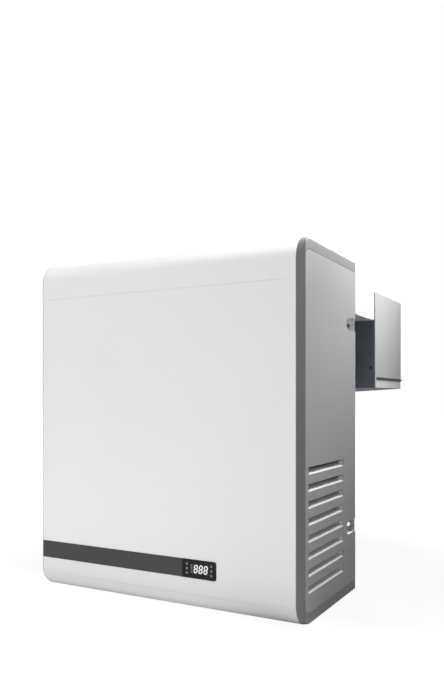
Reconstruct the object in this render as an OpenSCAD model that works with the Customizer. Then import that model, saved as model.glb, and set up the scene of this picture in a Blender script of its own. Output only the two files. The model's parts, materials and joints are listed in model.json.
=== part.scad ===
// Straddle refrigeration monoblock: a condensing body, a neck over the wall and a cold section behind it.
// X is right, Y runs from the front cover towards the cold section, Z is up and zero at the base.

/* [Condensing body] */
// Width over both side rims
body_w = 646; // [600:1:760]
// Height of the condensing body
body_h = 744; // [700:1:860]
// Depth of the condensing body
body_d = 328; // [322:1:400]
// Radius of the cover's front edges at top and bottom
corner_r = 48; // [30:1:56]
// Thickness of the moulded front cover
cover_t = 2.5; // [2:0.1:4]
// Thickness of every steel sheet
sheet_t = 1.5; // [1:0.1:2]

/* [Side rims] */
// Width of the rim seen from the front
rim_w = 9; // [6:0.5:12]
// Width of the rim's slope along the front edge
rim_front = 26; // [18:0.5:32]
// Width of the rim's flat band along the top and bottom edges
rim_edge = 23; // [16:0.5:30]

/* [Side louvres] */
// Number of louvre slots in each side
slot_count = 8; // [4:1:8]
// Height of a slot
slot_h = 14.5; // [10:0.5:17]
// Length of a slot
slot_l = 204; // [150:1:210]
// Distance from one slot to the next
slot_pitch = 32.7; // [30:0.1:34]
// Bottom of the lowest slot
slot_z = 58.5; // [50:0.5:70]

/* [Front strip and controller] */
// Height of the dark strip and of the controller's bezel
strip_h = 38; // [34:1:44]
// Height of the strip's centre line
strip_z = 88.9; // [80:0.1:100]
// Width of the controller's bezel
bezel_w = 80; // [78:1:90]
// Centre of the controller, right of the middle
ctrl_x = 103.5; // [60:0.5:200]
// Travel of a push button
button_travel = 0.6; // [0.3:0.1:0.7]

/* [Wall and neck] */
// Space between the body and the cold section, which is the thickest wall it straddles
wall_gap = 155; // [80:1:220]
// Height of the neck over the wall, with its seal
neck_h = 71.5; // [60:0.5:80]
// Distance of the neck's top below the body's top
neck_drop = 45.5; // [30:0.5:60]

/* [Cold section] */
// Depth of the cold section, from the wall plate to the room side
evap_d = 253; // [250:1:320]
// Height of the cold section's casing above the tray's rim
evap_h = 211.5; // [205:0.5:260]
// Diameter of each cold section fan
evap_fan_d = 168; // [140:1:172]
// Distance between the two fans' axes
evap_fan_span = 300; // [260:1:330]

/* [Drip tray] */
// Height of the tray's side wall
tray_wall = 19; // [15:0.5:30]
// Height of the flared rim on the tray
lip_h = 7; // [5:0.5:10]
// How far the rim stands out past the casing on the room side
lip_out = 17; // [12:0.5:25]
// Fall of the tray's floor from its sides to the middle
tray_fall = 19; // [10:0.5:30]
// Thickness of the tray's wall
tray_t = 1.2; // [1:0.1:2]

/* [Condenser] */
// Strip of the shroud left between the fan's mouth and the condenser's ends
mouth_edge = 3; // [2:0.5:20]
// Rows of tube in the condenser, one above the other
cond_rows = 8; // [4:1:8]
// Diameter of the compressor's shell
comp_d = 164; // [140:1:170]
// Height of the compressor's shell
comp_h = 205; // [180:1:230]

/* [Hidden] */
$fn = 48;

// Clearances, and the overrun of every cut
fit_gap = 0.2;
run_gap = 0.05;
soft_gap = 0.3;
over = 1;
slip = 0.5;

// Places from front to back and from bottom to top
bezel_out = 1;
total_d = bezel_out + body_d + wall_gap + evap_d + lip_out;
y_front = bezel_out - total_d / 2;
y_back = y_front + body_d;
y_plate = y_back + wall_gap;
y_room = y_plate + evap_d;
half_body = body_w / 2;
half_cover = half_body - rim_w;
cold_top_z = body_h - neck_drop;
cold_low_z = cold_top_z - evap_h;
tray_top_z = cold_low_z - lip_h;
tray_side_z = tray_top_z - tray_wall;
neck_low_z = cold_top_z - neck_h;
strip_low = strip_z - strip_h / 2;

// Cover, strip and rim details
cover_wrap = 60;
strip_t = 1;
groove_drop = 84;
groove_w = 1.6;
groove_deep = 0.8;
groove_end = 16.5;
rim_skin = 0.5;
rim_draw = 1.5;
rim_r = 20;
rim_ledge = 8;
rim_rear = 10;
pan_edge = 20;
top_lip = 15;

// Louvres
slot_front = 42;
blade_rise = 8.9;
blade_in = 10.5;
blade_t = 1.2;
blade_end = 9.5;

// Pockets for the wall bolts, half way up the two ends of the rear edge
notch_l = 60;
notch_h = 29;
notch_low = 147;
notch_drop = 144;
notch_z = [notch_low, body_h - notch_drop];
pocket_deep = 28;
pocket_t = 1.2;
bolt_r = 4.5;
bolt_in = 17;

// Screws
screw_r = 2;
screw_head_r = 4;
screw_head_t = 2.2;
screw_l = 7;
screw_edge = 12;

// Controller
bezel_r = 4;
bezel_frame = 5;
keypad_sink = 1.2;
keypad_r = 3;
cutout_w = 71;
cutout_h = 29;
ctrl_deep = 56;
ctrl_wall = 1.5;
window_w = 45;
window_h = 21;
window_t = 0.7;
digit_h = 17;
digit_w = 8.8;
digit_pitch = 11.6;
digit_bar = 2.1;
digit_raise = 0.25;
digit_split = 0.35;
digit_slant = 0.13;
digit_shift = 3.4;
led_block_t = 6;
icon_x = -18;
icon_count = 4;
icon_pitch = 4.4;
icon_w = 3.2;
icon_h = 1.8;
board_t = 1.6;
board_gap = 1;
button_r = 2.5;
button_col = 28.6;
button_row = 9.3;
button_proud = 0.8;
button_flange_r = 3.3;
button_flange_t = 0.8;
button_clear = 0.1;
stem_r = 1.2;
switch_w = 5;
y_bezel = y_front - bezel_out;
y_keypad = y_bezel + keypad_sink;
y_seat = y_front + strip_t;
y_led = y_seat + soft_gap;
y_board = y_led + led_block_t;

// Condenser coil, with its tubes along Y
coil_pitch = 30;
tube_first_share = 0.75;
tube_r = 4.8;
fin_step = 6;
fin_t = 0.8;
cond_t = 44;
cond_col = 22;
cond_out = 10;
cond_rear_gap = 90;
cond_low = 45;
cond_end = 1.5;
plate_over = 4;
stub_out = 3;
x_cond1 = half_cover - cond_out;
x_cond0 = x_cond1 - cond_t;
y_cond0 = y_front + cover_wrap + sheet_t + soft_gap + cond_end;
y_cond1 = y_back - cond_rear_gap;
cond_h = cond_rows * coil_pitch + coil_pitch / 2;
z_cond1 = cond_low + cond_h;
cond_mid_y = (y_cond0 + y_cond1) / 2;
cond_mid_z = cond_low + cond_h / 2;

// Condenser fan, motor and bracket, with their axis along X
shroud_deep = 24;
tip_gap = 4;
cond_hub_r = 32;
cond_blade_chord = 62;
cond_hub_l = 30;
cond_motor_r = 42;
cond_motor_l = 62;
cond_motor_gap = 6;
cond_shaft_r = 4;
shaft_seat = 26;
arm_w = 14;
arm_t = 3;
arm_out = 8;
arm_count = 3;
ring_l = 12;
x_shroud = x_cond0 - shroud_deep;
cond_ring_r = (y_cond1 - y_cond0) / 2 - mouth_edge;
x_hub = x_shroud - 2 * sheet_t;
x_motor = x_hub - cond_hub_l - cond_motor_gap;

// Fan blades
blade_count = 5;
fan_blade_t = 2;
camber_r = 75;
blade_pitch = 28;

// Compressor and its mounts
comp_edge = 244;
comp_x = comp_edge - half_cover;
comp_in = 156;
comp_y = y_front + comp_in;
foot_z = 16;
foot_t = 4;
foot_span = 78;
foot_w = 34;
foot_hole_r = 8;
grommet_r = 14;
grommet_neck = 7.8;
dome_r = 26;
weld_w = 3;
weld_h = 6;
stub_r = 6;
stub_l = 18;
stub_off = 36;
can_t = 3;
core_r = 54;
core_h = 96;
core_top = 30;
core_top_share = 0.7;
term_w = 52;
term_h = 70;
term_d = 30;
term_lift = 28;

// Electrical box
ebox_w = 250;
ebox_h = 170;
ebox_d = 62;
ebox_edge = 24;
ebox_x = ebox_edge - half_cover;
ebox_drop = 304;
lid_t = 2;
relay_w = 38;
relay_h = 60;
relay_d = 34;
relay_count = 3;
relay_pitch = 62;

// Filter drier, with a saddle on the rear panel
drier_r = 16;
drier_l = 96;
drier_cone = 20;
drier_end_r = 4;
drier_x = 120;
drier_z = 420;
drier_off = 40;
saddle_w = 24;

// Refrigerant lines
line_r = 3;
line_over = 8;
line_lead = 14;
line_step = 18;
line_turn = 40;
suction_r = 6;
suction_lead = 20;
suction_edge = 44;
suction_x = suction_edge - half_cover;
suction_off = 92;

// Cable gland on the rear panel
gland_edge = 64;
gland_x = gland_edge - half_cover;
gland_z = 70;
gland_r = 12;
gland_hex_r = 15;
gland_hex_l = 6;
gland_dome_l = 16;
gland_in_l = 10;
gland_nut_l = 5;
gland_bore_r = 5;

// Neck
neck_in = 1;
foam_t = 10;
seal_t = 3;
seal_in = 8;
neck_half = half_body - neck_in;
duct_half = neck_half - sheet_t - foam_t;
duct_low = neck_low_z + seal_t + sheet_t + foam_t;
duct_high = cold_top_z - sheet_t - foam_t;

// Cold section casing
plate_t = 3;
plate_low = 1;
frame_t = 10;
frame_w = 22;
hole_in = 12;
hole_r = 2.5;
big_hole_r = 4.8;
hole_up = [153, 84, 12];
big_hole_up = 49;
top_hole_in = 23;
top_hole_up = 165;
flange_w = 12;
vent_w = 6;
vent_pitch = 14;
vent_l = 84;
vent_start = 22;
vent_edge = 26;
y_frame = y_plate + plate_t;
y_case = y_frame + frame_t;
x_case = half_body - sheet_t;

// Evaporator coil, with its tubes along X
evap_rows = 4;
evap_t = 60;
evap_col = 30;
evap_off = 78;
evap_end_in = 44;
evap_lift = 26;
y_evap0 = y_case + evap_off;
y_evap1 = y_evap0 + evap_t;
evap_mid_y = (y_evap0 + y_evap1) / 2;
x_evap = x_case - evap_end_in;
evap_coil_h = evap_rows * coil_pitch + coil_pitch / 2;
z_evap0 = cold_low_z + evap_lift;
evap_fin_step = 9;

// Evaporator fans, with their axes along Y
evap_ring_l = 24;
evap_ring_t = 1.5;
evap_hub_r = 27;
evap_hub_l = 24;
evap_blade_chord = 46;
evap_motor_r = 30;
evap_motor_l = 40;
evap_motor_gap = 5;
evap_shaft_r = 3;
evap_fan_z = cold_low_z + evap_h / 2;
evap_ring_r = evap_fan_d / 2 + tip_gap;
hub_back = 6;
y_hub = y_room - sheet_t - hub_back;
y_evap_motor = y_hub - evap_hub_l - evap_motor_gap;

// Fan guards
wire_r = 1.5;
guard_rings = 5;
guard_first = 22;
guard_spokes = 4;
guard_turn = 45;
guard_over = 6;

// Defrost heater and room sensor
heater_r = 4;
heater_legs = 3;
heater_pitch = 40;
heater_in = 30;
sensor_r = 3;
sensor_l = 40;
sensor_clip = 8;

// Drip tray, its hinges and its screws
tray_in = 3;
tray_gap = 3;
tray_rear = 8.5;
y_tray0 = y_case + tray_gap;
y_tray1 = y_room + tray_rear;
x_tray = half_body - tray_in;
tray_low_z = tray_side_z - tray_fall;
hinge_in = 70;
hinge_x = x_tray - hinge_in;
hinge_pin_r = 2;
hinge_eye_r = 3.4;
hinge_t = 4;
hinge_off = 5.2;
hinge_ear_t = 2.5;
hinge_ear_gap = 0.5;
hinge_pin_l = 12;
hinge_up = 1;
y_hinge = y_tray0 + hinge_off;
z_hinge = tray_side_z + hinge_up;
bracket_top = 24;
bracket_low = 5;
slot_clear = 1;
drain_r = 8;
drain_bore_r = 6;
drain_l = 26;
drain_flange_r = 14;
drain_flange_t = 2;
tab_w = 26;
tab_h = 24;
tab_in = 36.5;
tab_x = x_case - tab_in;
tab_hole_up = 13;
thumb_r = 8;
thumb_t = 9;
thumb_shank_r = 2.4;
hole_slack = 0.3;

// An outline in the YZ plane, pushed along X from x0 to x1
module along_x(x0, x1) {
    translate([x0, 0, 0]) rotate([90, 0, 90]) linear_extrude(height = x1 - x0) children();
}

// An outline in the XZ plane, pushed along Y from y0 to y1
module along_y(y0, y1) {
    translate([0, y1, 0]) rotate([90, 0, 0]) linear_extrude(height = y1 - y0) children();
}

// A block between two corners
module block(a, b) {
    translate(a) cube(b - a);
}

// A rectangle between two corners
module pane(a, b) {
    translate(a) square(b - a);
}

// A round bar along X or Y, starting at a point
module bar_x(p, r, l) {
    translate(p) rotate([0, 90, 0]) cylinder(r = r, h = l);
}
module bar_y(p, r, l) {
    translate(p) rotate([-90, 0, 0]) cylinder(r = r, h = l);
}

// Height of a coil's tube over the coil's underside, counted from zero
function tube_up(i) = (i + tube_first_share) * coil_pitch;

// A rectangle with rounded corners, centred
module round_pane(w, h, r) {
    square([w, h - 2 * r], center = true);
    square([w - 2 * r, h], center = true);
    for (x = [-1, 1], z = [-1, 1]) translate([x * (w / 2 - r), z * (h / 2 - r)]) circle(r = r);
}

// The body seen from the side, drawn in by f at the front and e at top and bottom
module side_shape(f, e, r, rear = 0) {
    pane([y_front + f + r, e], [y_back - rear, body_h - e]);
    pane([y_front + f, e + r], [y_back - rear, body_h - e - r]);
    for (z = [e + r, body_h - e - r]) translate([y_front + f + r, z]) circle(r = r);
}

// Front cover: one moulding that wraps over the top and bottom edges
module front_cover() color([0.94, 0.94, 0.94]) difference() {
    along_x(-half_cover, half_cover) intersection() {
        difference() {
            side_shape(0, 0, corner_r);
            side_shape(cover_t, cover_t, corner_r - cover_t, -over);
        }
        pane([y_front - over, -over], [y_front + cover_wrap, body_h + over]);
    }
    block([-half_cover + groove_end, y_front - over, body_h - groove_drop - groove_w / 2],
        [half_cover - groove_end, y_front + groove_deep, body_h - groove_drop + groove_w / 2]);
    block([-half_cover - over, y_front - over, strip_low],
        [ctrl_x, y_front + strip_t, strip_low + strip_h]);
    translate([ctrl_x, 0, strip_z]) along_y(y_front - over, y_front + strip_t) bezel_shape(0);
    translate([ctrl_x, 0, strip_z]) along_y(y_front - over, y_front + cover_t + over)
        square([cutout_w, cutout_h], center = true);
}

module front_strip() color([0.31, 0.31, 0.31])
    block([-half_cover, y_front, strip_low + fit_gap],
        [ctrl_x - bezel_w / 2 - fit_gap, y_front + strip_t, strip_low + strip_h - fit_gap]);

module top_panel() color([0.94, 0.94, 0.94]) {
    block([-half_cover, y_front + cover_wrap, body_h - sheet_t], [half_cover, y_back, body_h]);
    difference() {
        block([-half_cover, y_back - 2 * sheet_t, body_h - top_lip],
            [half_cover, y_back - sheet_t, body_h - sheet_t]);
        for (x = [-1, 1])
            bar_y([x * rear_screw_x, y_back - screw_l, body_h - top_lip / 2], screw_r + hole_slack, screw_l);
    }
}

// Places of the screws that hold a panel seen from behind
rear_screw_x = half_cover - screw_edge;
rear_screw_z = [screw_edge, body_h / 3, body_h / 2, body_h - top_lip / 2];

module rear_panel() color([0.78, 0.79, 0.80]) difference() {
    union() {
        block([-half_cover, y_back - sheet_t, 0], [half_cover, y_back, body_h - sheet_t]);
        for (m = [0, 1], z = notch_z) mirror([m, 0, 0])
            block([half_cover - over, y_back - sheet_t, z - notch_h / 2 - pocket_t],
                [half_body - sheet_t - fit_gap, y_back, z + notch_h / 2 + pocket_t]);
    }
    block([-duct_half, y_back - sheet_t - over, duct_low], [duct_half, y_back + over, duct_high]);
    for (x = [-1, 1], z = notch_z)
        bar_y([x * (half_body - bolt_in), y_back - sheet_t - over, z], bolt_r, sheet_t + 2 * over);
    for (x = [-1, 1], z = rear_screw_z)
        bar_y([x * rear_screw_x, y_back - sheet_t - over, z], screw_r + hole_slack, sheet_t + 2 * over);
    bar_y([gland_x, y_back - sheet_t - over, gland_z], gland_r + fit_gap, sheet_t + 2 * over);
}

module base_pan() color([0.70, 0.71, 0.72]) {
    y0 = y_front + cover_wrap;
    y1 = y_back - sheet_t;
    block([-half_cover, y0, 0], [half_cover, y1, sheet_t]);
    block([-half_cover, y0, sheet_t], [half_cover, y0 + sheet_t, pan_edge]);
    for (x = [-half_cover, half_cover - sheet_t])
        block([x, y0 + sheet_t, sheet_t], [x + sheet_t, y1, pan_edge]);
}

// Outline of a wall bolt pocket, grown by g
module notch_shape(z, g, y1) {
    translate([y_back - notch_l + notch_h / 2, z]) circle(r = notch_h / 2 + g);
    pane([y_back - notch_l + notch_h / 2, z - notch_h / 2 - g], [y1, z + notch_h / 2 + g]);
}

// Right side rim: a ring, bevelled at the front, with a ledge behind the side panel
module side_rim() color([0.40, 0.41, 0.42]) difference() {
    hull() {
        along_x(half_cover, half_cover + rim_skin) side_shape(0, 0, corner_r, $fn = 64);
        along_x(half_body - rim_skin, half_body) side_shape(rim_front, rim_draw, rim_r, $fn = 64);
    }
    along_x(half_body - sheet_t, half_body + over) side_shape(rim_front, rim_edge, rim_r, -over, $fn = 64);
    along_x(half_cover - over, half_body) difference() {
        side_shape(rim_front + rim_ledge, rim_edge + rim_ledge, rim_r - rim_ledge, rim_rear);
        for (z = notch_z) notch_shape(z, rim_ledge, y_back);
    }
    for (z = notch_z)
        along_x(half_cover - over, half_body + over) notch_shape(z, pocket_t + fit_gap, y_back + over);
}

// Right side panel: a flat sheet with pressed louvres
module side_panel() color([0.62, 0.63, 0.63]) {
    difference() {
        along_x(half_body - sheet_t, half_body)
            side_shape(rim_front + fit_gap, rim_edge + fit_gap, rim_r - fit_gap);
        for (i = [0 : slot_count - 1])
            block([half_body - sheet_t - over, y_front + slot_front, slot_z + i * slot_pitch],
                [half_body + over, y_front + slot_front + slot_l, slot_z + i * slot_pitch + slot_h]);
        for (z = notch_z)
            along_x(half_body - sheet_t - over, half_body + over) notch_shape(z, 0, y_back + over);
    }
    for (i = [0 : slot_count - 1]) translate([0, y_front + slot_front, slot_z + i * slot_pitch]) {
        along_y(0, slot_l) louvre_blade();
        louvre_end();
        translate([0, slot_l, 0]) mirror([0, 1, 0]) louvre_end();
    }
}

// A louvre's section, from the slot's lower edge inwards and up
module louvre_blade() {
    polygon([[half_body, 0], [half_body - blade_in, blade_rise], [half_body - blade_in - blade_t, blade_rise],
        [half_body - sheet_t, -blade_t], [half_body, -blade_t]]);
}

// The drawn wall at a louvre's front end, sloping from the panel in to the blade
module louvre_end() intersection() {
    along_y(-blade_end, blade_end + blade_t)
        polygon([[half_body, -blade_t / 2], [half_body, slot_h], [half_body - blade_in, blade_rise],
            [half_body - blade_in, blade_rise - blade_t / 2]]);
    translate([0, 0, -slot_h]) linear_extrude(height = 2 * slot_h)
        polygon([[half_body, -blade_t], [half_body, 0], [half_body - blade_in, blade_end],
            [half_body - blade_in - blade_t, blade_end - blade_t], [half_body - sheet_t, -blade_t]]);
}

// Cups behind the notches, where the wall bolts are reached
module bolt_pockets() color([0.62, 0.63, 0.63])
    for (m = [0, 1], z = notch_z) mirror([m, 0, 0]) difference() {
        along_x(half_body - pocket_deep - pocket_t, half_body - sheet_t)
            notch_shape(z, pocket_t, y_back - sheet_t);
        along_x(half_body - pocket_deep, half_body) notch_shape(z, 0, y_back);
    }

// A pan-head screw along Y, its head outside the face at y
module panel_screw(x, y, z) {
    bar_y([x, y - screw_l, z], screw_r, screw_l);
    bar_y([x, y, z], screw_head_r, screw_head_t);
}

// All screws seen from the room side and on the body's back
module casing_screws() color([0.60, 0.60, 0.62]) {
    for (x = [-1, 1], z = rear_screw_z) panel_screw(x * rear_screw_x, y_back, z);
    at_cold_screws() panel_screw(0, y_room, 0);
}

// The bezel's front outline: square at the strip, rounded at its free end
module bezel_shape(g) {
    round_pane(bezel_w - 2 * g, strip_h - 2 * g, bezel_r);
    pane([-bezel_w / 2 + g, -strip_h / 2 + g], [0, strip_h / 2 - g]);
}

// Places of the buttons, from the controller's centre
module at_button(col, row) {
    translate([ctrl_x + col * button_col, 0, strip_z + row * button_row]) children();
}

module controller_housing() color([0.10, 0.10, 0.11]) difference() {
    translate([ctrl_x, 0, strip_z]) union() {
        along_y(y_bezel, y_seat) bezel_shape(fit_gap);
        along_y(y_seat, y_seat + ctrl_deep) square([cutout_w - slip, cutout_h - slip], center = true);
    }
    translate([ctrl_x, 0, strip_z]) {
        along_y(y_bezel - over, y_keypad)
            round_pane(bezel_w - 2 * bezel_frame, strip_h - 2 * bezel_frame, keypad_r);
        along_y(y_keypad - over, y_seat + over) square([window_w, window_h], center = true);
        along_y(y_seat, y_seat + ctrl_deep - ctrl_wall)
            square([cutout_w - slip - 2 * ctrl_wall, cutout_h - slip - 2 * ctrl_wall], center = true);
    }
    for (c = [-1, 1], r = [-1, 0, 1]) at_button(c, r)
        bar_y([0, y_keypad - over, 0], button_r + button_clear, bezel_out + over + strip_t);
}

module display_window() color([0.05, 0.05, 0.06, 0.6])
    translate([ctrl_x, 0, strip_z]) along_y(y_keypad, y_keypad + window_t)
        square([window_w - fit_gap, window_h - fit_gap], center = true);

// One bar of a seven-segment digit, from a to b, leaning with its height
function lean(p) = [p[0] + digit_slant * p[1], p[1]];
module digit_bar(a, b) {
    d = (b - a) / norm(b - a);
    n = [-d[1], d[0]] * digit_bar / 2;
    s = a + d * digit_split;
    e = b - d * digit_split;
    k = d * digit_bar / 2;
    polygon([for (p = [s, s + k + n, e - k + n, e, e - k - n, s + k - n]) lean(p)]);
}

module digit_shape() {
    w = (digit_w - digit_bar) / 2;
    h = (digit_h - digit_bar) / 2;
    for (z = [-h, 0, h]) digit_bar([-w, z], [w, z]);
    for (x = [-w, w], z = [-h, 0]) digit_bar([x, z], [x, z + h]);
}

// The display's light module, with its digits and marks raised
module display_digits() color([0.92, 0.93, 0.94]) translate([ctrl_x, 0, strip_z]) {
    along_y(y_led, y_board) square([window_w + 2 * fit_gap, window_h + 2 * fit_gap], center = true);
    along_y(y_led - digit_raise, y_led) {
        for (i = [-1, 0, 1]) translate([digit_shift + i * digit_pitch, 0]) digit_shape();
        for (i = [0 : icon_count - 1]) translate([icon_x, (i - (icon_count - 1) / 2) * icon_pitch])
            square([icon_w, icon_h], center = true);
    }
}

// Circuit board on edge behind the display, with a switch behind each button
module controller_board() color([0.10, 0.35, 0.22]) {
    w = cutout_w - slip - 2 * ctrl_wall - 2 * fit_gap;
    h = cutout_h - slip - 2 * ctrl_wall - 2 * fit_gap;
    translate([ctrl_x, 0, strip_z]) along_y(y_board, y_board + board_t) square([w, h], center = true);
    for (c = [-1, 1], r = [-1, 0, 1]) at_button(c, r)
        along_y(y_board - board_gap, y_board) square(switch_w, center = true);
    translate([ctrl_x, 0, strip_z]) along_y(y_board + board_t, y_seat + ctrl_deep - ctrl_wall - fit_gap)
        square([w / 2, board_t], center = true);
}

// A round push button with a retaining flange and a stem
module push_button(col, row) color([0.45, 0.45, 0.45]) at_button(col, row) {
    y_flange = y_seat + run_gap;
    bar_y([0, y_keypad - button_proud, 0], button_r, y_flange - y_keypad + button_proud);
    bar_y([0, y_flange, 0], button_flange_r, button_flange_t);
    bar_y([0, y_flange + button_flange_t, 0], stem_r,
        y_board - board_gap - button_travel - fit_gap - y_flange - button_flange_t);
}

// Half section of the compressor's can, drawn in by t
module can_section(t) {
    r = comp_d / 2;
    intersection() {
        union() {
            pane([0, t], [r - dome_r, comp_h - t]);
            pane([0, dome_r], [r - t, comp_h - dome_r]);
            for (z = [dome_r, comp_h - dome_r]) translate([r - dome_r, z]) circle(r = dome_r - t);
        }
        pane([0, 0], [comp_d, comp_h]);
    }
}

module can_half(low, high) {
    rotate_extrude() intersection() {
        difference() {
            can_section(0);
            can_section(can_t);
        }
        pane([0, low], [comp_d, high]);
    }
}

// Lower half of the compressor's welded can, on its base plate
module compressor_shell() color([0.08, 0.08, 0.09]) {
    translate([comp_x, comp_y, foot_z + foot_t]) can_half(0, comp_h / 2);
    difference() {
        block([comp_x - foot_span - foot_w / 2, comp_y - foot_w - foot_span / 2, foot_z],
            [comp_x + foot_span + foot_w / 2, comp_y + foot_w + foot_span / 2, foot_z + foot_t]);
        at_feet() translate([0, 0, foot_z - over]) cylinder(r = foot_hole_r, h = foot_t + 2 * over);
    }
}

// Upper half, with the weld bead and the stubs for the lines
module compressor_lid() color([0.08, 0.08, 0.09]) translate([comp_x, comp_y, foot_z + foot_t]) {
    can_half(comp_h / 2, comp_h);
    rotate_extrude() pane([comp_d / 2 - can_t / 2, comp_h / 2], [comp_d / 2 + weld_w, comp_h / 2 + weld_h]);
    for (y = [-1, 1]) translate([0, y * stub_off, comp_h - can_t / 2])
        cylinder(r = stub_r, h = stub_l + can_t / 2);
}

// Motor and pump, standing in the can
module compressor_core() color([0.55, 0.50, 0.45]) translate([comp_x, comp_y, foot_z + foot_t + can_t]) {
    cylinder(r = core_r, h = core_h);
    translate([0, 0, core_h]) cylinder(r = core_r * core_top_share, h = core_top);
}

module at_feet() {
    for (x = [-1, 1], y = [-1, 1])
        translate([comp_x + x * foot_span, comp_y + y * (foot_span + foot_w) / 2, 0]) children();
}

// Four rubber mounts, waisted where the compressor's plate sits
module compressor_mounts() color([0.12, 0.12, 0.12]) at_feet() {
    translate([0, 0, sheet_t]) cylinder(r = grommet_r, h = foot_z - sheet_t);
    translate([0, 0, foot_z]) cylinder(r = grommet_neck, h = foot_t);
    translate([0, 0, foot_z + foot_t]) cylinder(r = grommet_r - foot_t, h = foot_t);
}

module compressor_terminals() color([0.20, 0.20, 0.21])
    difference() {
        block([comp_x - term_w / 2, comp_y - comp_d / 2 - term_d, foot_z + foot_t + term_lift],
            [comp_x + term_w / 2, comp_y, foot_z + foot_t + term_lift + term_h]);
        translate([comp_x, comp_y, 0]) cylinder(r = comp_d / 2 + soft_gap, h = body_h);
    }

// Places of the condenser's tubes, seen along Y
module at_cond_tubes() {
    for (c = [-1, 1], i = [0 : cond_rows - 1])
        translate([(x_cond0 + x_cond1) / 2 + c * cond_col / 2, 0, cond_low + tube_up(i)]) children();
}

// Flat fins with the tubes' holes, and an end plate on each side that stands on the base pan
module condenser_fins() color([0.72, 0.73, 0.74]) {
    n = floor((y_cond1 - y_cond0) / fin_step);
    for (i = [1 : n - 1]) translate([0, y_cond0 + i * fin_step, 0]) condenser_plate(cond_low, z_cond1, fin_t);
    for (y = [y_cond0 - cond_end, y_cond1])
        translate([0, y, 0]) condenser_plate(sheet_t, z_cond1 + plate_over, cond_end);
}

module condenser_plate(low, high, t) {
    along_y(0, t) difference() {
        pane([x_cond0, low], [x_cond1, high]);
        for (c = [-1, 1], i = [0 : cond_rows - 1])
            translate([(x_cond0 + x_cond1) / 2 + c * cond_col / 2, cond_low + tube_up(i)])
                circle(r = tube_r + run_gap, $fn = 16);
    }
}

// Straight tubes, joined to a serpentine by half rings at their ends
module condenser_tubes() color([0.72, 0.42, 0.26]) {
    y0 = y_cond0 - cond_end - stub_out;
    y1 = y_cond1 + cond_end + stub_out;
    at_cond_tubes() bar_y([0, y0, 0], tube_r, y1 - y0);
    for (c = [-1, 1], i = [0 : cond_rows - 2]) {
        rear = i % 2 == 0;
        translate([(x_cond0 + x_cond1) / 2 + c * cond_col / 2, rear ? y1 : y0, cond_low + tube_up(i + 0.5)])
            rotate([0, 0, rear ? 0 : 180]) rotate([0, 90, 0]) half_ring(coil_pitch / 2, tube_r);
    }
    translate([(x_cond0 + x_cond1) / 2, y0, cond_low + tube_up(0)]) rotate([0, 0, 180])
        half_ring(cond_col / 2, tube_r);
}

// Half of a ring in the XY plane, bulging towards +Y
module half_ring(r, tube) {
    rotate_extrude(angle = 180) translate([r, 0]) circle(r = tube);
}

// Shroud: a shallow box on the coil with a round mouth for the fan
module condenser_shroud() color([0.55, 0.56, 0.57]) difference() {
    union() {
        block([x_shroud, y_cond0 - cond_end, sheet_t], [x_cond0, y_cond1 + cond_end, z_cond1 + plate_over]);
        bar_x([x_shroud - ring_l, cond_mid_y, cond_mid_z], cond_ring_r + sheet_t, ring_l + over);
    }
    block([x_shroud + sheet_t, y_cond0, cond_low], [x_cond0 + over, y_cond1, z_cond1]);
    bar_x([x_shroud - ring_l - over, cond_mid_y, cond_mid_z], cond_ring_r, ring_l + sheet_t + 2 * over);
}

// An axial fan along +Z from its hub's foot at zero: hub, cambered blades and a shaft below it
module axial_fan(r_tip, r_hub, hub_l, chord, shaft_r, shaft_l) {
    cylinder(r = r_hub, h = hub_l);
    translate([0, 0, -shaft_l]) cylinder(r = shaft_r, h = shaft_l);
    for (i = [0 : blade_count - 1]) rotate([0, 0, i * 360 / blade_count]) intersection() {
        cylinder(r = r_tip, h = hub_l);
        translate([0, 0, hub_l / 2]) rotate([blade_pitch, 0, 0]) intersection() {
            translate([r_hub - fan_blade_t, -chord / 2, -hub_l]) cube([r_tip, chord, 2 * hub_l]);
            translate([0, 0, -camber_r]) difference() {
                bar_x([0, 0, 0], camber_r + fan_blade_t / 2, r_tip);
                bar_x([-over, 0, 0], camber_r - fan_blade_t / 2, r_tip + 2 * over);
            }
        }
    }
}

// A fan motor along +Z, its face at zero, with a bearing bore
module fan_motor(r, l, shaft_r) {
    difference() {
        union() {
            translate([0, 0, -l]) cylinder(r = r, h = l);
            cylinder(r = r / 2, h = fan_blade_t);
        }
        translate([0, 0, -shaft_seat]) cylinder(r = shaft_r + run_gap, h = shaft_seat + arm_t);
    }
}

module condenser_motor() color([0.16, 0.16, 0.17])
    translate([x_motor, cond_mid_y, cond_mid_z]) rotate([0, 90, 0])
        fan_motor(cond_motor_r, cond_motor_l, cond_shaft_r);

module condenser_fan() color([0.14, 0.14, 0.15])
    translate([x_hub - cond_hub_l, cond_mid_y, cond_mid_z]) rotate([0, 90, 0])
        axial_fan(cond_ring_r - tip_gap, cond_hub_r, cond_hub_l, cond_blade_chord, cond_shaft_r, shaft_seat);

// A clamp ring on the motor with arms that reach round the fan to the shroud
module condenser_bracket() color([0.50, 0.51, 0.52])
    translate([0, cond_mid_y, cond_mid_z]) {
        r_arm = cond_ring_r + sheet_t + arm_out;
        x0 = x_motor - cond_motor_l / 2;
        difference() {
            bar_x([x0, 0, 0], cond_motor_r + arm_t, ring_l);
            bar_x([x0 - over, 0, 0], cond_motor_r + run_gap, ring_l + 2 * over);
        }
        for (i = [0 : arm_count - 1]) rotate([90 + i * 360 / arm_count, 0, 0]) {
            block([x0, cond_motor_r + arm_t / 2, -arm_w / 2], [x0 + arm_t, r_arm + arm_t, arm_w / 2]);
            block([x0, r_arm, -arm_w / 2], [x_shroud, r_arm + arm_t, arm_w / 2]);
        }
    }

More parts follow.
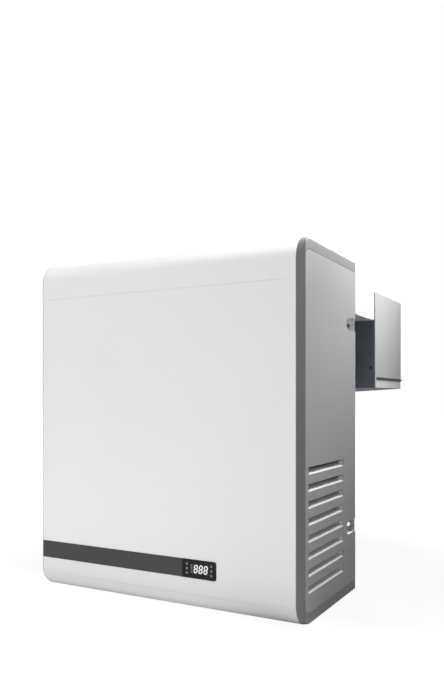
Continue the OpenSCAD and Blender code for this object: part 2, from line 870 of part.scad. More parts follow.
// A bent pipe through a list of points
module pipe(points, r) {
    for (i = [0 : len(points) - 2]) {
        d = points[i + 1] - points[i];
        translate(points[i]) rotate([0, acos(d[2] / norm(d)), atan2(d[1], d[0])])
            cylinder(r = r, h = norm(d), $fn = 16);
    }
    for (i = [1 : len(points) - 2]) translate(points[i]) sphere(r = r, $fn = 16);
}

// Discharge line, liquid line through the drier to the evaporator, and suction line back
module refrigerant_lines() color([0.72, 0.42, 0.26]) {
    x_hot = (x_cond0 + x_cond1 + cond_col) / 2;
    x_liquid = x_hot - cond_col;
    y_c = y_cond0 - cond_end - stub_out;
    y_lead = y_c - line_lead;
    z_c = cond_low + tube_up(cond_rows - 1);
    z_stub = foot_z + foot_t + comp_h + stub_l;
    z_low = z_cond1 + plate_over + line_over;
    z_hot = z_low + line_step;
    y_drier = y_back - drier_off;
    z_neck = (duct_low + duct_high) / 2 + line_r;
    x_e = -(x_evap + cond_end + stub_out);
    x_feed = x_e - line_lead / 2;
    y_feed = evap_mid_y - evap_col / 2;
    z_e = z_evap0 + tube_up(evap_rows - 1);
    y_turn = y_case + line_turn;
    pipe([[x_hot, y_c, z_c], [x_hot, y_lead, z_c], [x_hot, y_lead, z_hot], [comp_x, y_lead, z_hot],
        [comp_x, comp_y - stub_off, z_hot], [comp_x, comp_y - stub_off, z_stub]], line_r);
    pipe([[x_liquid, y_c, z_c], [x_liquid, y_lead, z_c], [x_liquid, y_lead, z_low],
        [x_liquid, y_drier, z_low], [drier_x, y_drier, z_low],
        [drier_x, y_drier, drier_z - 2 * drier_cone]], line_r);
    pipe([[drier_x, y_drier, drier_z + drier_l + 2 * drier_cone], [drier_x, y_drier, z_neck],
        [drier_x, y_turn, z_neck], [x_feed, y_turn, z_neck], [x_feed, y_feed, z_neck],
        [x_feed, y_feed, z_e], [x_e, y_feed, z_e]], line_r);
    suction_line(x_e, y_feed + evap_col, z_e, y_turn - line_step, z_neck - line_r - suction_r, z_stub);
}

// Suction line from the evaporator's outlet, through the neck and down to the compressor
module suction_line(x_out, y_out, z_out, y_turn, z_neck, z_stub) {
    x_lead = x_out - suction_lead;
    y_down = y_back - suction_off;
    z_down = z_stub + 2 * line_step;
    pipe([[x_out, y_out, z_out], [x_lead, y_out, z_out], [x_lead, y_out, z_neck], [x_lead, y_turn, z_neck],
        [suction_x, y_turn, z_neck], [suction_x, y_down, z_neck], [suction_x, y_down, z_down],
        [comp_x, y_down, z_down], [comp_x, comp_y + stub_off, z_down], [comp_x, comp_y + stub_off, z_stub]],
        suction_r);
}

// Electrical box on the rear panel, open towards the front
ebox_z = body_h - ebox_drop;
module electrical_box() color([0.66, 0.67, 0.68]) difference() {
    block([ebox_x, y_back - sheet_t - ebox_d, ebox_z], [ebox_x + ebox_w, y_back - sheet_t, ebox_z + ebox_h]);
    block([ebox_x + sheet_t, y_back - sheet_t - ebox_d - over, ebox_z + sheet_t],
        [ebox_x + ebox_w - sheet_t, y_back - 2 * sheet_t, ebox_z + ebox_h - sheet_t]);
}

module electrical_cover() color([0.74, 0.75, 0.76])
    block([ebox_x, y_back - sheet_t - ebox_d - lid_t, ebox_z],
        [ebox_x + ebox_w, y_back - sheet_t - ebox_d, ebox_z + ebox_h]);

module relay_block() color([0.85, 0.85, 0.83])
    for (i = [0 : relay_count - 1])
        translate([ebox_x + relay_w + i * relay_pitch, y_back - 2 * sheet_t,
            ebox_z + (ebox_h - relay_h) / 2]) {
            block([0, -relay_d, 0], [relay_w, 0, relay_h]);
            block([relay_w / 4, -relay_d - screw_l, relay_h / 3],
                [relay_w * 3 / 4, -relay_d, relay_h * 2 / 3]);
        }

// Filter drier, upright, on a saddle that is screwed to the rear panel
module filter_drier() color([0.72, 0.42, 0.26]) {
    translate([drier_x, y_back - drier_off, drier_z]) {
        cylinder(r = drier_r, h = drier_l);
        for (z = [0, 1]) translate([0, 0, z * drier_l]) mirror([0, 0, 1 - z]) {
            cylinder(r1 = drier_r, r2 = drier_end_r, h = drier_cone);
            cylinder(r = drier_end_r, h = drier_cone * 2);
        }
    }
    block([drier_x - saddle_w / 2, y_back - drier_off, drier_z + saddle_w],
        [drier_x + saddle_w / 2, y_back - sheet_t, drier_z + 2 * saddle_w]);
}

// Cable gland through the rear panel, with its bore for the supply lead
module cable_gland() color([0.15, 0.15, 0.16]) translate([gland_x, 0, gland_z]) difference() {
    union() {
        bar_y([0, y_back - sheet_t - gland_in_l, 0], gland_r, gland_in_l + sheet_t);
        translate([0, y_back, 0]) rotate([-90, 0, 0]) cylinder(r = gland_hex_r, h = gland_hex_l, $fn = 6);
        translate([0, y_back + gland_hex_l, 0]) rotate([-90, 0, 0])
            cylinder(r1 = gland_r, r2 = gland_r - gland_bore_r / 2, h = gland_dome_l);
        translate([0, y_back - sheet_t - gland_nut_l, 0]) rotate([-90, 0, 0])
            cylinder(r = gland_hex_r, h = gland_nut_l, $fn = 6);
    }
    bar_y([0, y_back - sheet_t - gland_in_l - over, 0], gland_bore_r,
        gland_in_l + sheet_t + gland_hex_l + gland_dome_l + 2 * over);
}

// Neck: a rectangular sleeve over the wall, lined with foam, with a seal under it
module sleeve(half, low, high, wall, y0, y1) {
    difference() {
        block([-half, y0, low], [half, y1, high]);
        block([-half + wall, y0 - over, low + wall], [half - wall, y1 + over, high - wall]);
    }
}

module neck_shell() color([0.95, 0.95, 0.95])
    sleeve(neck_half, neck_low_z + seal_t, cold_top_z, sheet_t, y_back, y_plate);

module neck_insulation() color([0.93, 0.90, 0.78])
    sleeve(neck_half - sheet_t, neck_low_z + seal_t + sheet_t, cold_top_z - sheet_t, foam_t, y_back, y_plate);

module neck_seal() color([0.50, 0.51, 0.52])
    block([-neck_half, y_back + seal_in, neck_low_z], [neck_half, y_plate - seal_in, neck_low_z + seal_t]);

// Dark plate that faces the wall, with its fixing holes near both ends
module wall_plate() color([0.21, 0.23, 0.25]) difference() {
    block([-half_body, y_plate, tray_side_z - plate_low], [half_body, y_frame, cold_top_z]);
    block([-duct_half, y_plate - over, duct_low], [duct_half, y_frame + over, duct_high]);
    fixing_holes();
}

// The holes near both ends, through the wall plate and the frame behind it
module fixing_holes() {
    for (s = [-1, 1]) {
        x = s * (half_body - hole_in);
        for (z = hole_up) fixing_hole(x, z, hole_r);
        fixing_hole(x, big_hole_up, big_hole_r);
        fixing_hole(s * (half_body - top_hole_in), top_hole_up, hole_r);
    }
}

module fixing_hole(x, up, r) {
    bar_y([x, y_plate - over, tray_side_z + up], r, plate_t + frame_t + 2 * over);
}

// Pale insulating frame between the wall plate and the casing
module cold_frame() color([0.80, 0.81, 0.81]) difference() {
    block([-half_body, y_frame, tray_side_z], [half_body, y_case, cold_top_z]);
    block([-half_body + frame_w, y_frame - over, tray_side_z + frame_w],
        [half_body - frame_w, y_case + over, min(cold_top_z - frame_w, duct_high)]);
    fixing_holes();
}

// Right side of the casing, with a flange at the room side
module cold_side() color([0.72, 0.73, 0.73]) {
    block([x_case, y_case, cold_low_z], [half_body, y_room, cold_top_z]);
    block([x_case - flange_w, y_case, cold_low_z], [x_case, y_room - sheet_t, cold_low_z + sheet_t]);
}

// Top of the casing, with a row of air slots over the space before the coil
module cold_top() color([0.74, 0.75, 0.75]) difference() {
    block([-x_case, y_case, cold_top_z - sheet_t], [x_case, y_room, cold_top_z]);
    for (x = [-x_case + vent_edge : vent_pitch : x_case - vent_edge - vent_w])
        block([x, y_case + vent_start, cold_top_z - sheet_t - over],
            [x + vent_w, y_case + vent_start + vent_l, cold_top_z + over]);
}

// Places of the screws and of the fans on the room side
cold_screw_x = [x_case - screw_edge, x_case / 2, 0];
module at_cold_screws() {
    for (s = [-1, 1], x = cold_screw_x) if (x > 0 || s > 0)
        translate([s * x, 0, cold_top_z - screw_edge]) children();
}
module at_evap_fans() {
    for (s = [-1, 1]) translate([s * evap_fan_span / 2, 0, evap_fan_z]) children();
}

module cold_rear() color([0.76, 0.77, 0.77]) difference() {
    union() {
        block([-x_case, y_room - sheet_t, cold_low_z], [x_case, y_room, cold_top_z - sheet_t]);
        at_evap_fans() bar_y([0, y_room - evap_ring_l, 0], evap_ring_r + evap_ring_t, evap_ring_l);
        block([-x_case + flange_w + slip, y_room - sheet_t - flange_w, cold_low_z],
            [x_case - flange_w - slip, y_room - sheet_t, cold_low_z + sheet_t]);
    }
    at_evap_fans() bar_y([0, y_room - evap_ring_l - over, 0], evap_ring_r, evap_ring_l + 2 * over);
    at_cold_screws() bar_y([0, y_room - sheet_t - over, 0], screw_r + hole_slack, sheet_t + 2 * over);
    for (s = [-1, 1])
        bar_y([s * tab_x, y_room - sheet_t - over, cold_low_z + tab_hole_up], thumb_shank_r,
            sheet_t + 2 * over);
}

// Places of the evaporator's tubes, seen along X
module at_evap_tubes() {
    for (c = [-1, 1], i = [0 : evap_rows - 1])
        translate([0, evap_mid_y + c * evap_col / 2, z_evap0 + tube_up(i)]) children();
}

// Flat fins with the tubes' holes, hung between two end plates from the casing's top
module evaporator_fins() color([0.76, 0.77, 0.78]) {
    n = floor(2 * x_evap / evap_fin_step);
    for (i = [1 : n - 1]) translate([-x_evap + i * evap_fin_step, 0, 0])
        evaporator_plate(z_evap0 + evap_coil_h, fin_t);
    for (x = [-x_evap - cond_end, x_evap])
        translate([x, 0, 0]) evaporator_plate(cold_top_z - sheet_t, cond_end);
}

module evaporator_plate(high, t) {
    along_x(0, t) difference() {
        pane([y_evap0, z_evap0], [y_evap1, high]);
        for (c = [-1, 1], i = [0 : evap_rows - 1])
            translate([evap_mid_y + c * evap_col / 2, z_evap0 + tube_up(i)])
                circle(r = tube_r + run_gap, $fn = 16);
    }
}

module evaporator_tubes() color([0.72, 0.42, 0.26]) {
    x0 = x_evap + cond_end + stub_out;
    at_evap_tubes() bar_x([-x0, 0, 0], tube_r, 2 * x0);
    for (c = [-1, 1], i = [0 : evap_rows - 2]) {
        s = i % 2 == 0 ? 1 : -1;
        translate([s * x0, evap_mid_y + c * evap_col / 2, z_evap0 + tube_up(i + 0.5)])
            rotate([0, 0, -90 * s]) rotate([0, 90, 0]) half_ring(coil_pitch / 2, tube_r);
    }
    translate([-x0, evap_mid_y, z_evap0 + tube_up(0)]) rotate([0, 0, 90]) half_ring(evap_col / 2, tube_r);
}

// Heater bent to and fro on the coil's room side
module defrost_heater() color([0.45, 0.45, 0.46]) {
    y = y_evap1 + heater_r + soft_gap;
    l = x_evap - heater_in;
    z0 = z_evap0 + (evap_coil_h - (heater_legs - 1) * heater_pitch) / 2;
    for (i = [0 : heater_legs - 1]) bar_x([-l, y, z0 + i * heater_pitch], heater_r, 2 * l);
    for (i = [0 : heater_legs - 2]) {
        s = i % 2 == 0 ? 1 : -1;
        translate([s * l, y, z0 + (i + 0.5) * heater_pitch]) rotate([0, 0, -90 * s]) rotate([0, 90, 0])
            half_ring(heater_pitch / 2, heater_r);
    }
}

// Room sensor in a clip on the coil's air side
module room_sensor() color([0.20, 0.20, 0.21]) {
    bar_x([0, y_evap0 - sensor_clip, z_evap0 + evap_coil_h / 2], sensor_r, sensor_l);
    block([sensor_l / 3, y_evap0 - sensor_clip, z_evap0 + evap_coil_h / 2 - sensor_r],
        [sensor_l / 2, y_evap0 - soft_gap, z_evap0 + evap_coil_h / 2 + sensor_r]);
}

// A motor on three arms that reach to the rim of the fan's mouth
module evap_motor(s) color([0.16, 0.16, 0.17])
    translate([s * evap_fan_span / 2, y_evap_motor, evap_fan_z]) {
        r_arm = evap_ring_r + evap_ring_t;
        rotate([-90, 0, 0]) fan_motor(evap_motor_r, evap_motor_l, evap_shaft_r);
        for (i = [0 : arm_count - 1]) rotate([0, 90 + i * 360 / arm_count, 0]) {
            block([evap_motor_r - arm_t, -evap_motor_l / 2, -arm_w / 2],
                [r_arm + arm_t, arm_t - evap_motor_l / 2, arm_w / 2]);
            block([r_arm, -evap_motor_l / 2, -arm_w / 2],
                [r_arm + arm_t, y_room - sheet_t - y_evap_motor, arm_w / 2]);
        }
    }

module evap_fan(s) color([0.14, 0.14, 0.15])
    translate([s * evap_fan_span / 2, y_hub - evap_hub_l, evap_fan_z]) rotate([-90, 0, 0])
        axial_fan(evap_fan_d / 2, evap_hub_r, evap_hub_l, evap_blade_chord, evap_shaft_r, shaft_seat);

// Wire guards on the room side: rings that lie on four spokes
module fan_guards() color([0.80, 0.81, 0.82]) at_evap_fans() {
    r_out = evap_ring_r + guard_over;
    step = (r_out - guard_first) / (guard_rings - 1);
    for (i = [0 : guard_rings - 1]) translate([0, y_room + 2 * wire_r, 0]) rotate([-90, 0, 0]) difference() {
        cylinder(r = guard_first + i * step + wire_r, h = 2 * wire_r);
        translate([0, 0, -over]) cylinder(r = guard_first + i * step - wire_r, h = 2 * wire_r + 2 * over);
    }
    for (i = [0 : guard_spokes - 1]) rotate([0, guard_turn + i * 360 / guard_spokes, 0])
        bar_x([guard_first - wire_r, y_room + wire_r, 0], wire_r, r_out - guard_first + wire_r);
}

// Height of the tray's floor underside at a distance x from the middle
function floor_z(x) = tray_low_z + tray_fall * abs(x) / x_tray;

// The tray's outline from the front, drawn in by t
module tray_shape(t, top) {
    x = x_tray - t;
    polygon([[-x, top], [-x, tray_side_z + t], [0, tray_low_z + t], [x, tray_side_z + t], [x, top]]);
}

// Drip tray: a floor that falls to the middle, four walls, a drain stub, hinge ears and two tabs
module drip_tray() color([0.80, 0.81, 0.81]) difference() {
    slot = hinge_t / 2 + slot_clear;
    union() {
        difference() {
            along_y(y_tray0, y_tray1) tray_shape(0, tray_top_z);
            along_y(y_tray0 + tray_t, y_tray1 - tray_t) tray_shape(tray_t, tray_top_z + over);
            for (s = [-1, 1]) block([s * hinge_x - slot, y_tray0 - over, tray_side_z - hinge_off],
                [s * hinge_x + slot, y_tray0 + 2 * tray_t, tray_top_z + over]);
        }
        for (s = [-1, 1], e = [-1, 1])
            hinge_ear(s * hinge_x + e * ((hinge_t + hinge_ear_t) / 2 + hinge_ear_gap));
        at_drain(drain_l) cylinder(r = drain_r, h = drain_l + tray_t);
        at_drain(drain_flange_t / 2) cylinder(r = drain_flange_r, h = drain_flange_t);
    }
    at_drain(drain_l + over) cylinder(r = drain_bore_r, h = drain_l + drain_r);
    for (s = [-1, 1])
        bar_x([s * hinge_x - hinge_pin_l, y_hinge, z_hinge], hinge_pin_r + run_gap, 2 * hinge_pin_l);
}

// The drain's axis, at a drop below the tray's lowest point
module at_drain(drop) {
    translate([0, (y_tray0 + y_tray1) / 2, tray_low_z - drop]) children();
}

// An ear on the tray's floor that the hinge pin passes through
module hinge_ear(x) {
    r = hinge_eye_r;
    block([x - hinge_ear_t / 2, y_hinge - r, floor_z(x) + tray_t / 2],
        [x + hinge_ear_t / 2, y_hinge + r, z_hinge]);
    bar_x([x - hinge_ear_t / 2, y_hinge, z_hinge], r, hinge_ear_t);
}

// Flared rim on the tray's two sides and room side, with a tab for each screw
module tray_rim() color([0.52, 0.53, 0.54]) {
    difference() {
        hull() {
            block([-x_tray, y_hinge, tray_top_z], [x_tray, y_tray1, tray_top_z + rim_skin]);
            block([-half_body, y_hinge, cold_low_z - soft_gap - rim_skin],
                [half_body, y_room + lip_out, cold_low_z - soft_gap]);
        }
        block([-x_tray + tray_t, y_hinge - over, tray_top_z - over],
            [x_tray - tray_t, y_tray1 - tray_t, cold_low_z]);
    }
    for (s = [-1, 1]) translate([s * tab_x, y_room + soft_gap, 0]) {
        block([-tab_w / 2, 0, tray_top_z],
            [tab_w / 2, tray_rear - soft_gap - tray_t / 2, tray_top_z + tray_t]);
        difference() {
            block([-tab_w / 2, 0, tray_top_z], [tab_w / 2, tray_t, cold_low_z + tab_h]);
            bar_y([0, -over, cold_low_z + tab_hole_up], thumb_shank_r + run_gap, tray_t + 2 * over);
        }
    }
}

// Hinge brackets on the cold frame, each with its pin
module tray_hinges() color([0.66, 0.67, 0.68]) for (s = [-1, 1]) {
    block([s * hinge_x - hinge_t / 2, y_case, z_hinge + bracket_low],
        [s * hinge_x + hinge_t / 2, y_hinge + hinge_eye_r, z_hinge + bracket_top]);
    block([s * hinge_x - hinge_t / 2, y_hinge - hinge_eye_r, z_hinge],
        [s * hinge_x + hinge_t / 2, y_hinge + hinge_eye_r, z_hinge + bracket_low]);
    bar_x([s * hinge_x - hinge_t / 2, y_hinge, z_hinge], hinge_eye_r, hinge_t);
    bar_x([s * hinge_x - hinge_pin_l / 2, y_hinge, z_hinge], hinge_pin_r, hinge_pin_l);
}

// Captive thumb screws in the tray's tabs, drawn backed out of the casing
module tray_screws() color([0.12, 0.12, 0.13])
    for (s = [-1, 1]) translate([s * tab_x, 0, cold_low_z + tab_hole_up]) {
        bar_y([0, y_room + soft_gap, 0], thumb_shank_r, tray_t);
        bar_y([0, y_room + soft_gap + tray_t, 0], thumb_r, thumb_t);
    }

front_cover();
front_strip();
top_panel();
rear_panel();
base_pan();
side_rim();  // side_rim_right
mirror([1, 0, 0]) side_rim();  // side_rim_left
side_panel();  // side_panel_right
mirror([1, 0, 0]) side_panel();  // side_panel_left
bolt_pockets();
casing_screws();
controller_housing();
display_window();
display_digits();
controller_board();
push_button(-1, 1);  // button_left_top
push_button(-1, 0);  // button_left_middle
push_button(-1, -1);  // button_left_bottom
push_button(1, 1);  // button_right_top
push_button(1, 0);  // button_right_middle
push_button(1, -1);  // button_right_bottom
compressor_shell();
compressor_lid();
compressor_core();
compressor_mounts();
compressor_terminals();
condenser_fins();
condenser_tubes();
condenser_shroud();
refrigerant_lines();
condenser_motor();
condenser_bracket();
condenser_fan();
electrical_box();
electrical_cover();
relay_block();
filter_drier();
cable_gland();
neck_shell();
neck_insulation();
neck_seal();
wall_plate();
cold_frame();
cold_side();  // cold_side_right
mirror([1, 0, 0]) cold_side();  // cold_side_left
cold_top();
cold_rear();
evaporator_fins();
evaporator_tubes();
defrost_heater();
room_sensor();
evap_motor(1);  // evap_motor_right
evap_motor(-1);  // evap_motor_left
evap_fan(1);  // evap_fan_right
evap_fan(-1);  // evap_fan_left
fan_guards();
drip_tray();
tray_rim();
tray_hinges();
tray_screws();
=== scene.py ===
import json
import math

import bmesh
import bpy
from mathutils import Matrix, Vector


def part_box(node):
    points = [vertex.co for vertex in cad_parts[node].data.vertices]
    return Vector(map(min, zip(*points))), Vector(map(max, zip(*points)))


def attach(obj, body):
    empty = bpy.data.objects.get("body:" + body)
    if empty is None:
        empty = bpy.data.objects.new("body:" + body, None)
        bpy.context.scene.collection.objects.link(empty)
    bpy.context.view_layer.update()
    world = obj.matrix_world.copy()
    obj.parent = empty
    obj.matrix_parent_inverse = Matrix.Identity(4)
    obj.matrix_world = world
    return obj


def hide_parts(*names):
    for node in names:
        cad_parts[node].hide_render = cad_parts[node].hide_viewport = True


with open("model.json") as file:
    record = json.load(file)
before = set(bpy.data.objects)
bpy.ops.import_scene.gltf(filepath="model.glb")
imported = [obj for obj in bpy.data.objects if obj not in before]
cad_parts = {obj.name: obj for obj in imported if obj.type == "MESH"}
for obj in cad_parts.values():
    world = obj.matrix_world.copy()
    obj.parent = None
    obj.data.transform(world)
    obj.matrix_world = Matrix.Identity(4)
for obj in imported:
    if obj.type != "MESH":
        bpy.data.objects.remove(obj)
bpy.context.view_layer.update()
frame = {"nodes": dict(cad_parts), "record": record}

# Over-the-wall refrigeration unit: finishes, fine pieces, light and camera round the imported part
nodes = frame["nodes"]
mm = 0.001
white = (1, 1, 1, 1)
print("frame loaded:", len(nodes), "nodes")


# Finishes. Every pattern reads Object coordinates, in metres. Depths are given in millimetres.

def tone(*codes):  # screen codes 0 to 255 made a linear colour, one code for a grey
    codes = codes * 3 if len(codes) == 1 else codes
    return tuple(((c / 255 + 0.055) / 1.055) ** 2.4 if c > 10 else c / 255 / 12.92 for c in codes) + (1.0,)


def shade(colour, factor):
    return tuple(c * factor for c in colour[:3]) + (1.0,)


def shaderOf(mat):
    return mat.node_tree.nodes["Principled BSDF"]


def newFinish(name, colour, rough, metal=0.0, **sockets):
    mat = bpy.data.materials.new(name)
    mat.use_nodes = True
    shader = shaderOf(mat)
    shader.inputs["Base Color"].default_value = colour
    shader.inputs["Roughness"].default_value = rough
    shader.inputs["Metallic"].default_value = metal
    for socket, value in sockets.items():
        shader.inputs[socket.replace("_", " ")].default_value = value
    return mat


def feed(mat, socket, value):  # links another node's socket, or sets a plain value
    if isinstance(value, bpy.types.NodeSocket):
        mat.node_tree.links.new(value, socket)
    else:
        socket.default_value = value


def drive(mat, socket, source):
    feed(mat, shaderOf(mat).inputs[socket], source)


def pattern(mat, kind, scale, stretch=(1, 1, 1), **settings):  # a texture on Object coordinates
    tree = mat.node_tree
    coords = tree.nodes.new("ShaderNodeTexCoord")
    mapping = tree.nodes.new("ShaderNodeMapping")
    mapping.inputs["Scale"].default_value = stretch
    texture = tree.nodes.new(kind)
    texture.inputs["Scale"].default_value = scale
    for socket, value in settings.items():
        texture.inputs[socket].default_value = value
    tree.links.new(coords.outputs["Object"], mapping.inputs["Vector"])
    tree.links.new(mapping.outputs["Vector"], texture.inputs["Vector"])
    return texture


def along(mat, axis):  # one Object coordinate
    tree = mat.node_tree
    coords = tree.nodes.new("ShaderNodeTexCoord")
    parts = tree.nodes.new("ShaderNodeSeparateXYZ")
    tree.links.new(coords.outputs["Object"], parts.inputs["Vector"])
    return parts.outputs[axis]


def calculate(mat, operation, *values):
    node = mat.node_tree.nodes.new("ShaderNodeMath")
    node.operation = operation
    for socket, value in zip(node.inputs, values):
        feed(mat, socket, value)
    return node.outputs["Value"]


def ramp(mat, source, stops):  # a colour ramp on a value
    node = mat.node_tree.nodes.new("ShaderNodeValToRGB")
    while len(node.color_ramp.elements) < len(stops):
        node.color_ramp.elements.new(0.5)
    for element, (place, colour) in zip(node.color_ramp.elements, stops):
        element.position = place
        element.color = colour
    mat.node_tree.links.new(source, node.inputs["Fac"])
    return node.outputs["Color"]


def remap(mat, source, low, high, fromLow=0.0, fromHigh=1.0):
    node = mat.node_tree.nodes.new("ShaderNodeMapRange")
    for socket, value in (("From Min", fromLow), ("From Max", fromHigh), ("To Min", low), ("To Max", high)):
        node.inputs[socket].default_value = value
    mat.node_tree.links.new(source, node.inputs["Value"])
    return node.outputs["Result"]


def bump(mat, source, depth, strength):  # on top of any bump before it
    node = mat.node_tree.nodes.new("ShaderNodeBump")
    node.inputs["Strength"].default_value = strength
    node.inputs["Distance"].default_value = depth * mm
    mat.node_tree.links.new(source, node.inputs["Height"])
    last = shaderOf(mat).inputs["Normal"]
    if last.is_linked:
        mat.node_tree.links.new(last.links[0].from_socket, node.inputs["Normal"])
    mat.node_tree.links.new(node.outputs["Normal"], last)


def layOver(mat, colour, share):  # lays a colour over the base colour, where and as far as the share says
    base = shaderOf(mat).inputs["Base Color"]
    mix = mat.node_tree.nodes.new("ShaderNodeMix")
    mix.data_type = "RGBA"
    feed(mat, mix.inputs["Factor"], share)
    feed(mat, mix.inputs["A"], base.links[0].from_socket)
    feed(mat, mix.inputs["B"], colour)
    feed(mat, base, mix.outputs["Result"])


paintSetup = {
    "cloudScale": 6, "cloudDetail": 3, "low": 0.3, "high": 0.7, "roughSwing": 0.04,
    "skinDetail": 2, "skinStrength": 0.4, "coatRough": 0.12,
}


def paintFinish(name, colour, rough, speckle=0.02, peel=0.04, grain=700, coat=0.0):
    setup = paintSetup
    mat = newFinish(name, colour, rough, Coat_Weight=coat, Coat_Roughness=setup["coatRough"])
    cloud = pattern(mat, "ShaderNodeTexNoise", setup["cloudScale"], Detail=setup["cloudDetail"])
    cloud = cloud.outputs["Fac"]
    drive(mat, "Base Color", ramp(mat, cloud,
        [(setup["low"], shade(colour, 1 - speckle)), (setup["high"], shade(colour, 1 + speckle))]))
    skin = pattern(mat, "ShaderNodeTexNoise", grain, Detail=setup["skinDetail"])
    bump(mat, skin.outputs["Fac"], peel, setup["skinStrength"])
    drive(mat, "Roughness", remap(mat, cloud,
        rough - setup["roughSwing"], rough + setup["roughSwing"], setup["low"], setup["high"]))
    return mat


shadeLineSetup = {
    "rough": 0.36, "speckle": 0.006, "darker": 0.14, "height": 36.0, "thick": 0.3, "faded": 1.3,
    "reach": 280.0, "fullShare": 0.7,
}


def shadeLinePaint(name, colour):  # painted shade: a faint darker line across the front, low on the cover, where the front turns into the bottom curve
    setup = shadeLineSetup
    mat = paintFinish(name, colour, setup["rough"], setup["speckle"])
    rise = calculate(mat, "ABSOLUTE", calculate(mat, "SUBTRACT", along(mat, "Z"), setup["height"] * mm))
    aside = calculate(mat, "ABSOLUTE", along(mat, "X"))
    reach = setup["reach"] * mm
    layOver(mat, shade(colour, 1 - setup["darker"]), calculate(mat, "MULTIPLY",
        remap(mat, rise, 1.0, 0.0, setup["thick"] * mm, setup["faded"] * mm),
        remap(mat, aside, 1.0, 0.0, reach * setup["fullShare"], reach)))
    return mat


insetLightSetup = {"under": 0.3, "deep": 4.5, "rimTone": 186, "deepTone": 255}


def panelCoat(name, colour):  # the fine, even coat of the grey sheets
    return paintFinish(name, colour, 0.42, speckle=0.015, peel=0.06, grain=1500)


def insetLitPaint(name, colour):  # painted light: louvre blades and pockets, behind the panel's face, are painted lighter, lightest deep inside, standing in for the light that falls on them
    setup = insetLightSetup
    mat = panelCoat(name, colour)
    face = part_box("side_panel_right")[1][0] - setup["under"] * mm
    aside = calculate(mat, "ABSOLUTE", along(mat, "X"))
    inner = ramp(mat, remap(mat, aside, 0.0, 1.0, face - setup["deep"] * mm, face),
        [(0.0, tone(setup["deepTone"])), (1.0, tone(setup["rimTone"]))])
    layOver(mat, inner, calculate(mat, "LESS_THAN", aside, face))
    return mat


mouldedSetup = {
    "grainStrength": 0.35, "cloudScale": 9, "cloudDetail": 4,
    "low": 0.3, "high": 0.7, "dark": 0.94, "light": 1.05,
}


def mouldedFinish(name, colour, rough, grain=1400, depth=0.08, **sockets):
    setup = mouldedSetup
    mat = newFinish(name, colour, rough, **sockets)
    cells = pattern(mat, "ShaderNodeTexVoronoi", grain)
    bump(mat, cells.outputs["Distance"], depth, setup["grainStrength"])
    cloud = pattern(mat, "ShaderNodeTexNoise", setup["cloudScale"], Detail=setup["cloudDetail"])
    drive(mat, "Base Color", ramp(mat, cloud.outputs["Fac"],
        [(setup["low"], shade(colour, setup["dark"])), (setup["high"], shade(colour, setup["light"]))]))
    return mat


zincSetup = {
    "metal": 0.85, "flakeScale": 140, "low": 0.2, "high": 0.8, "dark": 0.86, "light": 1.06,
    "smoother": 0.07, "rougher": 0.1,
    "fineScale": 900, "fineDetail": 3, "fineDepth": 0.04, "fineStrength": 0.3,
}


def zincFinish(name, colour, rough):
    setup = zincSetup
    mat = newFinish(name, colour, rough, setup["metal"])
    flakes = pattern(mat, "ShaderNodeTexVoronoi", setup["flakeScale"]).outputs["Color"]
    drive(mat, "Base Color", ramp(mat, flakes,
        [(setup["low"], shade(colour, setup["dark"])), (setup["high"], shade(colour, setup["light"]))]))
    drive(mat, "Roughness", remap(mat, flakes, rough - setup["smoother"], rough + setup["rougher"]))
    fine = pattern(mat, "ShaderNodeTexNoise", setup["fineScale"], Detail=setup["fineDetail"])
    bump(mat, fine.outputs["Fac"], setup["fineDepth"], setup["fineStrength"])
    return mat


brushedSetup = {
    "metal": 1.0, "stretch": (1, 30, 30), "lineScale": 60, "lineDetail": 4, "low": 0.3, "high": 0.7,
    "smoother": 0.08, "rougher": 0.12, "dark": 0.88, "light": 1.06, "depth": 0.03, "strength": 0.3,
}


def brushedFinish(name, colour, rough):
    setup = brushedSetup
    mat = newFinish(name, colour, rough, setup["metal"])
    lines = pattern(mat, "ShaderNodeTexNoise", setup["lineScale"], setup["stretch"],
        Detail=setup["lineDetail"]).outputs["Fac"]
    drive(mat, "Roughness", remap(mat, lines,
        rough - setup["smoother"], rough + setup["rougher"], setup["low"], setup["high"]))
    drive(mat, "Base Color", ramp(mat, lines,
        [(setup["low"], shade(colour, setup["dark"])), (setup["high"], shade(colour, setup["light"]))]))
    bump(mat, lines, setup["depth"], setup["strength"])
    return mat


copperSetup = {
    "rough": 0.3, "stainScale": 22, "stainDetail": 6, "dull": (112, 62, 44), "bright": (222, 150, 118),
    "low": 0.35, "middle": 0.5, "high": 0.75, "roughest": 0.5, "smoothest": 0.22, "smoothFrom": 0.7,
}


def copperFinish(name, colour):
    setup = copperSetup
    mat = newFinish(name, colour, setup["rough"], 1.0)
    stains = pattern(mat, "ShaderNodeTexNoise", setup["stainScale"], Detail=setup["stainDetail"])
    stains = stains.outputs["Fac"]
    dull = tone(*setup["dull"])
    bright = tone(*setup["bright"])
    drive(mat, "Base Color", ramp(mat, stains,
        [(setup["low"], dull), (setup["middle"], colour), (setup["high"], bright)]))
    drive(mat, "Roughness", remap(mat, stains,
        setup["roughest"], setup["smoothest"], setup["low"], setup["smoothFrom"]))
    return mat


foamSetup = {"rough": 0.9, "cellScale": 420, "depth": 0.8, "strength": 0.7, "dark": 0.8, "high": 0.6}


def foamFinish(name, colour):
    setup = foamSetup
    mat = newFinish(name, colour, setup["rough"])
    cells = pattern(mat, "ShaderNodeTexVoronoi", setup["cellScale"]).outputs["Distance"]
    bump(mat, cells, setup["depth"], setup["strength"])
    drive(mat, "Base Color", ramp(mat, cells, [(0.0, shade(colour, setup["dark"])), (setup["high"], colour)]))
    return mat


def glassFinish(name, colour, rough, alpha):
    mat = newFinish(name, colour, rough, Alpha=alpha)
    mat.surface_render_method = "BLENDED"
    return mat


